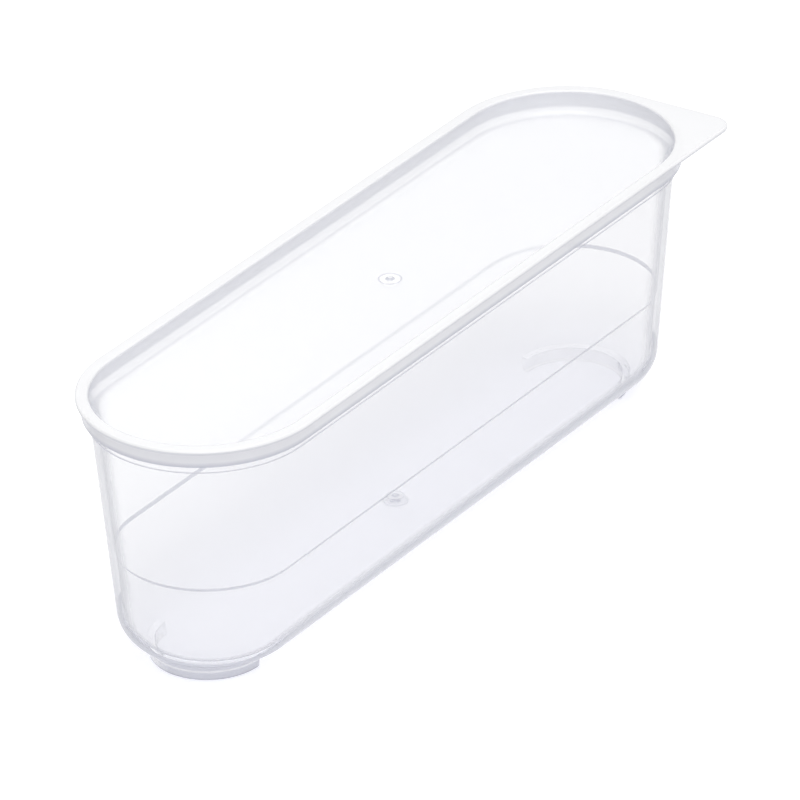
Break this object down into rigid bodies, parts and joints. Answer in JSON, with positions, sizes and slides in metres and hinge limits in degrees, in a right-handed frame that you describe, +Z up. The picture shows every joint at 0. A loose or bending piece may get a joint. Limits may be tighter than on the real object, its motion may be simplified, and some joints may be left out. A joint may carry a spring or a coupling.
{
  "type": "lidded dessert cup",
  "caption": "Long slim clear plastic dessert cup, stadium shaped, standing on two curved feet, with a recessed push-on lid that has a pull tab at one corner.",
  "frame": {"origin": "bottom centre, on the table under the middle of cup and lid", "axes": "+X along the cup towards the end with the pull tab, +Y across it away from the tab's corner, +Z up"},
  "size_m": [0.1505, 0.0424, 0.049],
  "materials": {
    "cup_plastic": "clear, polished",
    "lid_plastic": "clear, polished"
  },
  "bodies": {
    "root": {"cup": "cup_plastic", "lid": "lid_plastic"}
  },
  "joints": []
}
